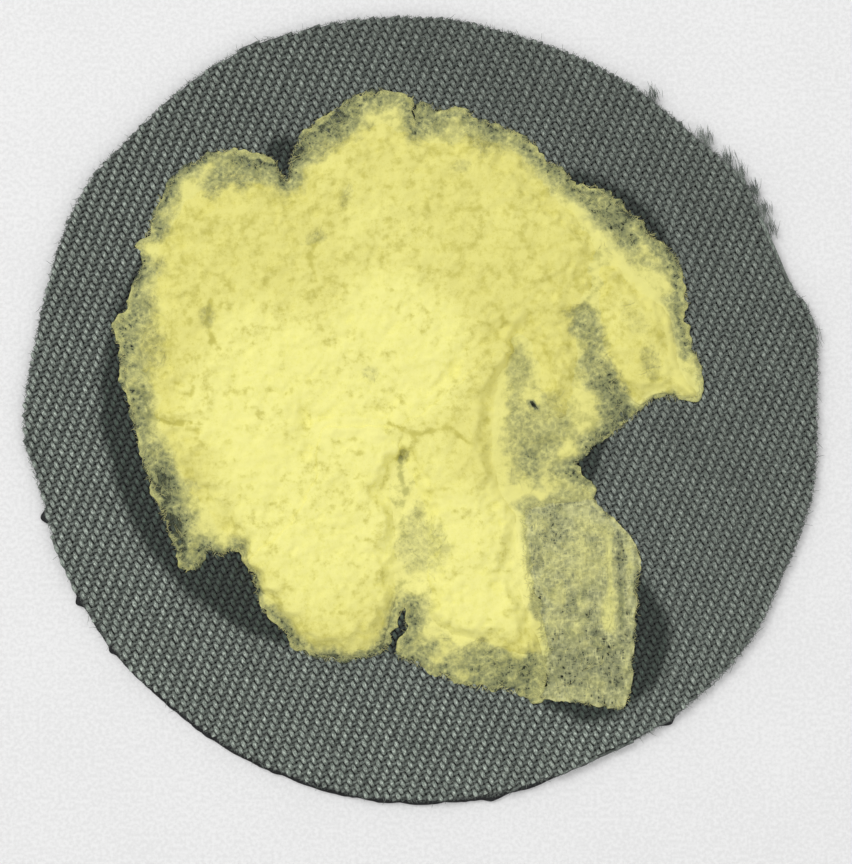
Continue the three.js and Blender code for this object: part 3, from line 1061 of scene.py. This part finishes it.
def clay_ply(node, finish, spacing, seed, margins, ragged, neighbours, edging=0.0, most=1.0,
             relief=0.20, under=None, join=0.9):
    """A torn sheet of clay over the slab of a CAD node, and its top, cover and body as functions.
    Lengths are in mm. margins are the widths of its softest and steepest margins, ragged is how
    far its rim strays, and join is how far it is widened where it meets a neighbour. edging is
    the cover of its rolled rim, and most is the cover of its middle. under is the same three
    functions for the ply below: the new ply starts at its rim from what they give, so that it
    grows out of that ply."""
    low, high = (corner[2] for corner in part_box(node))
    bottom = low - (BURIED if under else 0.02 * MM)
    wide, narrow = (width * MM for width in margins)

    def spread(points):
        return 0.15 * MM + join * MM * meeting(points, neighbours)

    outline = torn(slab_outline(node), spacing * MM, ragged * MM, 0.9 * MM, seed, spread)
    abutting = neighbours if under else []

    def rise(points, edge, least=0.0):
        uneven = np.clip(1 + 0.5 * cloudy(points, 1.8 * MM, seed + 5), 0.35, 2)
        width = softness(points, max(wide, least), max(narrow, least), abutting)
        width += (narrow - width) * meeting(points, abutting)
        return ramp(edge, -0.1 * width, width * uneven)

    def height(points, edge):
        rough = 0.45 * cloudy(points, 3.0 * MM, 51, layers=2)
        rough += 0.30 * cloudy(points, 1.3 * MM, 52, layers=2)
        rough += 0.24 * cloudy(points, 0.55 * MM, 53, layers=2)
        rough *= 0.16 * MM + relief * (high - low)
        body = rise(points, edge, 2.2 * MM) * (0.5 + 0.5 * worn(points))
        base = under[0](points) - SUNK if under else low
        shape = (high - base) * body + rough * np.clip(body * 1.5, 0.1 if under else 0.25, 1)
        top = base + shape + 0.16 * MM * folds(points) * np.clip(body * 4, 0, 1)
        return np.clip(top, bottom + 0.05 * MM, high + 0.35 * MM)

    def cover(points, edge):
        own = rise(points, edge)
        if under:
            below = under[1](points)
            return np.clip(below + (worn(points) - below) * own, 0, 1)
        met = meeting(points, neighbours)
        rim = edging * (1 - ramp(edge, 0.10 * MM, 0.80 * MM)) * (1 - met)
        rim *= np.clip(0.6 + 1.6 * cloudy(points, 1.3 * MM, seed + 9), 0, 1.4)
        rim = np.maximum(rim, 0.45 * met)
        return np.clip(np.maximum(own * worn(points, most), rim) + 0.25 * folds(points), 0, 1)

    def body(points, edge):
        below = under[2](points) if under else 0.0
        own = rise(points, edge, 1.6 * MM) * worn(points, most)
        return np.clip(below + (1 - below) * own, 0, 1)

    def anywhere(field):
        return lambda points: field(points, edge_distance(points, outline))

    fields = {
        "cover": cover,
        "body": body,
        "ripe": lambda points, edge: ripeness(points),
        "fold": lambda points, edge: folds(points),
    }
    inner = scattered(outline, spacing * MM, seed + 1)
    name = node.removesuffix("_ply") + "_sheet"
    piece = sheet_mesh(name, outline, inner, height, bottom, fields)
    piece.data.materials.append(finish)
    return piece, [anywhere(field) for field in (height, cover, body)]


# %% [markdown]
# The thin plies come first, because the thick ones are laid on them. The veil has a wide, soft
# margin, and the panel, which is drawn finely, shows the most of the cloth. All the plies share
# one noise, so their lumps run on from one to the next.

# %% Make the plies
MAIN, LOBE, TONGUE = "clay_main_ply", "clay_lobe_ply", "clay_tongue_ply"

veil, veil_fields = clay_ply("clay_veil", thin_clay, 0.27, 61, (2.6, 0.5), 0.36, ["clay_panel"],
                             edging=0.45, relief=0.5, join=0.5)
panel, _ = clay_ply("clay_panel", panel_clay, 0.20, 71, (0.8, 0.4), 0.20, [],
                    edging=0.6, most=0.44, relief=0.5)
main, lobe, tongue, flap = (
    clay_ply(node, thick_clay, spacing, seed, margins, ragged, neighbours, under=veil_fields)[0]
    for node, spacing, seed, margins, ragged, neighbours in (
        (MAIN, 0.22, 81, (3.4, 0.5), 0.25, [LOBE, TONGUE]),
        (LOBE, 0.22, 91, (1.5, 0.5), 0.16, [MAIN, TONGUE]),
        (TONGUE, 0.22, 101, (1.8, 0.45), 0.12, [MAIN, LOBE]),
        ("clay_flap", 0.20, 111, (2.0, 0.5), 0.20, []),
    )
)

# %% [markdown]
# ## Fibres
#
# The paste is bound with short fibres. They lie flat in it, cross the thin places like a net and
# stick out of the torn margins. The cut rim of the cloth has hairs of its own. One Geometry Nodes
# tree makes all of them: it puts a short line on each root, bends it with noise, drops it on what
# lies below and gives it a thin three-sided section.

# %% The tree that lays strands
BEND_SCALE = 1100.0  # of the noise that bends the strands


def strand_tree():
    graph, given = geometry_tree(
        "laid_strands",
        Object=["Roots", "Ground"],
        Int=["Segments"],
        Float=["Half width", "Bend", "Lift", "Lowest"],
        Material=["Material"],
    )
    roots, ground = (
        graph.node("GeometryNodeObjectInfo", None, [given[name]]).outputs["Geometry"]
        for name in ("Roots", "Ground")
    )
    turn, length = (
        graph.node("GeometryNodeInputNamedAttribute", {"data_type": "FLOAT"}, [name]).outputs[0]
        for name in ("turn", "length")
    )
    line = graph.out("GeometryNodeCurvePrimitiveLine", Start=(-0.5, 0, 0), End=(0.5, 0, 0))
    line = graph.out("GeometryNodeResampleCurve", Curve=line, Count=given["Segments"] + 1)
    strands = graph.out(
        "GeometryNodeInstanceOnPoints",
        Points=roots,
        Instance=line,
        Rotation=graph.xyz(0.0, 0.0, turn),
        Scale=graph.xyz(length, 1.0, 1.0),
    )
    strands = graph.out("GeometryNodeRealizeInstances", Geometry=strands)
    place = graph.out("GeometryNodeInputPosition")
    stray_x, stray_y, stray_z = graph.parts(graph.stray(place, BEND_SCALE, 1.0))
    aside = graph.xyz(stray_x * given["Bend"], stray_y * given["Bend"])
    bent = graph.out("GeometryNodeSetPosition", Geometry=strands, Offset=aside)
    x, y, _ = graph.parts(graph.out("GeometryNodeInputPosition"))
    hit = graph.out(
        "GeometryNodeRaycast",
        None,
        "Hit Position",
        Target_Geometry=ground,
        Source_Position=graph.xyz(x, y, 0.1),
        Ray_Direction=(0, 0, -1),
        Ray_Length=1.0,
    )
    height = graph.parts(hit)[2].math("MAXIMUM", given["Lowest"]) + given["Half width"] * 0.4
    height = height + (stray_z + 0.2).math("MAXIMUM", 0.0) * given["Lift"]
    laid = graph.out("GeometryNodeSetPosition", Geometry=bent, Position=graph.xyz(x, y, height))
    share = graph.value(graph.out("GeometryNodeSplineParameter"))
    taper = 1.0 - ((share - 0.5) * 2.0).math("ABSOLUTE") * 0.65
    laid = graph.out("GeometryNodeSetCurveRadius", Curve=laid, Radius=taper)
    section = graph.out("GeometryNodeCurvePrimitiveCircle", Resolution=3, Radius=given["Half width"])
    return finish_tree(graph, skinned(graph, laid, section), given["Material"])


laying = strand_tree()


def strands(name, roots, ground, finish, half_width, bend, lift, lowest, segments=4):
    """Strands on the ground at roots, which are rows of x, y, turn and length. lowest is the least
    height that they are laid at, and bend and lift are how far noise moves them."""
    cloud = bpy.data.meshes.new(name + "_roots")
    cloud.from_pydata([(x, y, 0.0) for x, y in roots[:, :2]], [], [])
    for label, column in (("turn", 2), ("length", 3)):
        layer = cloud.attributes.new(label, "FLOAT", "POINT")
        layer.data.foreach_set("value", np.ascontiguousarray(roots[:, column]))
    seeds = placed(name + "_roots", cloud)
    sizes = {
        "Roots": seeds,
        "Ground": ground,
        "Segments": segments,
        "Half width": half_width,
        "Bend": bend,
        "Lift": lift,
        "Lowest": lowest,
        "Material": finish,
    }
    piece = grown(name, laying, sizes)
    bpy.data.objects.remove(seeds)
    return piece


# %% Where the strands go


def roots_over(outline, count, seed, weight, longest):
    """Rows of x, y, turn and length, scattered over an outline where weight, 0 to 1, says."""
    chance = np.random.default_rng(seed)
    low, high = outline.min(0), outline.max(0)
    tries = chance.uniform(low, high, (count * 8, 2))
    tries = tries[is_inside(tries, outline)]
    tries = tries[chance.uniform(0, 1, len(tries)) < weight(tries)][:count]
    turns = chance.uniform(0, math.pi, len(tries))
    lengths = longest * chance.uniform(0.25, 1.0, len(tries)) ** 1.5
    return np.column_stack([tries, turns, lengths])


def roots_along(outline, step, seed, spread, shortest, longest):
    """Rows along an outline, whose strands lean out of it."""
    chance = np.random.default_rng(seed)
    rim = walked(outline, step)
    out = outward(rim)
    turns = np.arctan2(out[:, 1], out[:, 0]) + chance.uniform(-spread, spread, len(rim))
    lengths = chance.uniform(shortest, longest, len(rim))
    inset = chance.uniform(-0.35, 0.25, len(rim))[:, None] * lengths[:, None]
    return np.column_stack([rim + out * inset, turns, lengths])


def joined_copy(name, parts):
    """One mesh with all the given pieces in it, for strands to lie on."""
    shell = bmesh.new()
    for part in parts:
        shell.from_mesh(part.data)
    mesh = bpy.data.meshes.new(name)
    shell.to_mesh(mesh)
    shell.free()
    return placed(name, mesh)


clay_bed = joined_copy("clay_bed", [veil, panel, main, lobe, tongue, flap])

# %% Clay fibres
fibre_finish = mottled("clay_fibre", 0.9 * MM, (186, 187, 132), (230, 226, 152), 0.6, 0.2)[0]
VEIL_FIBRES, PANEL_FIBRES = 1700, 420
FIBRE_LENGTH = 1.8 * MM
veil_outline = slab_outline("clay_veil")
panel_outline = slab_outline("clay_panel")


def thinness(points):
    """More than 0 where the veil is thin enough for its fibres to show."""
    return np.clip(1.3 * (0.95 - worn(points)), 0, 0.55)


def everywhere(points):
    return np.ones(len(points))


thin_roots = np.vstack(
    [
        roots_over(veil_outline, VEIL_FIBRES, 201, thinness, FIBRE_LENGTH),
        roots_over(panel_outline, PANEL_FIBRES, 202, everywhere, FIBRE_LENGTH),
        roots_along(veil_outline, 0.10 * MM, 203, 1.2, 0.20 * MM, 0.7 * MM),
        roots_along(panel_outline, 0.12 * MM, 204, 1.2, 0.20 * MM, 0.6 * MM),
    ]
)
thin_fibres = strands("clay_fibres_thin", thin_roots, clay_bed, fibre_finish, half_width=0.020 * MM,
                      bend=0.9 * MM, lift=0.06 * MM, lowest=CLOTH_HIGH)

# %% [markdown]
# The cloth was cut with scissors, so its rim has short hairs all round, a few longer ones, and
# tufts at the upper right where yarns have come loose. They lie on the ground sheet.

# %% Hairs on the cut rim of the cloth
hair_finish = mottled("cloth_hair", 1.2 * MM, (82, 90, 84), (142, 150, 142), 0.8, 0.1)[0]

TUFTS = (  # where yarns have come loose at the rim: x, y in mm
    (27.0, 26.0),
    (29.2, 24.0),
    (30.4, 22.6),
    (31.6, 21.0),
    (32.5, 19.2),
    (33.2, 17.4),
    (22.0, 30.0),
    (-17.0, 33.6),
    (37.2, 6.8),
)
TUFT_STRANDS = 60


def tuft_roots(places, each, seed):
    """Bunches of loose strands that point the way the warps run."""
    chance = np.random.default_rng(seed)
    middles = np.repeat(np.array(places) * MM, each, axis=0)
    middles += chance.normal(0, 0.34 * MM, middles.shape)
    turns = WARP_ANGLE + chance.normal(-0.25, 0.22, len(middles))
    return np.column_stack([middles, turns, chance.uniform(0.6, 1.6, len(middles)) * MM])


hair_roots = np.vstack(
    [
        roots_along(cloth_outline, 0.09 * MM, 211, 1.4, 0.15 * MM, 0.5 * MM),
        roots_along(cloth_outline, 1.10 * MM, 212, 1.4, 0.50 * MM, 1.3 * MM),
        tuft_roots(TUFTS, TUFT_STRANDS, 213),
    ]
)
hairs = strands("cloth_hairs", hair_roots, ground, hair_finish, half_width=0.030 * MM,
                bend=0.5 * MM, lift=0.30 * MM, lowest=0.62 * MM, segments=3)

# %% [markdown]
# Worn twill is covered in fine fluff, which blurs its ribs. It is laid on the yarns themselves,
# and only on bare cloth, because under the clay it would never be seen.

# %% Fluff all over the cloth
FLUFF_STRANDS = 7000
cloth_bed = joined_copy("cloth_bed", [*warps, *wefts])
fluff_finish, graph, shader, place, _ = mottled(
    "cloth_fluff", 0.8 * MM, (104, 112, 104), (172, 178, 168), 0.8, 0.1
)
dry_fluff = shader.inputs["Base Color"].links[0].from_socket
# the fluff darkens in the stain, and in the painted shade of the slits, by the same mask
fluff_colour = blend(graph, wet_and_shade_mask(graph, place), dry_fluff, linear(66, 74, 69))
graph.feed(shader.inputs["Base Color"], fluff_colour)


def clear_of_clay(points):
    """1 on bare cloth and 0 under the clay."""
    return 1.0 - (is_inside(points, veil_outline) | is_inside(points, panel_outline))


fluff_roots = roots_over(cloth_outline, FLUFF_STRANDS, 221, clear_of_clay, 0.9 * MM)
fluff = strands("cloth_fluff", fluff_roots, cloth_bed, fluff_finish, half_width=0.022 * MM,
                bend=0.5 * MM, lift=0.06 * MM, lowest=0.9 * MM)
bpy.data.objects.remove(clay_bed)
bpy.data.objects.remove(cloth_bed)

# %% [markdown]
# ## The pieces on one body
#
# Nothing on the disc moves, so every piece rides on the one body, root. The pieces are listed by
# the material slot of the part that they dress, and for each sheet the flat size and area of its
# slab are printed and the slab is hidden.

# %% Bodies, slots and sheets
SLOTS = {
    "twill": (ground, *warps, *wefts, hairs, fluff),
    "film": (film,),
    "clay_thin": (veil, panel, thin_fibres),
    "clay_thick": (main, lobe, tongue, flap),
}
for slot, dressed in SLOTS.items():
    for piece in dressed:
        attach(piece, "root")


def declare_sheet(piece, node):
    """Hides the node's slab and prints its flat sides and area. piece is not used."""
    outline = slab_outline(node)
    sides = [max(side, 10 * MM) for side in outline.max(0) - outline.min(0)]
    ahead = np.roll(outline, -1, axis=0)
    area = 0.5 * abs((outline[:, 0] * ahead[:, 1] - ahead[:, 0] * outline[:, 1]).sum())
    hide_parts(node)
    print(node, "sides, mm:", [round(x / MM, 1) for x in sides], "area, mm2:", round(area / MM**2))


declare_sheet(film, "black_backing")
declare_sheet(ground, "twill_face")
declare_sheet(veil, "clay_veil")
declare_sheet(panel, "clay_panel")
for piece, node in ((main, MAIN), (lobe, LOBE), (tongue, TONGUE), (flap, "clay_flap")):
    declare_sheet(piece, node)
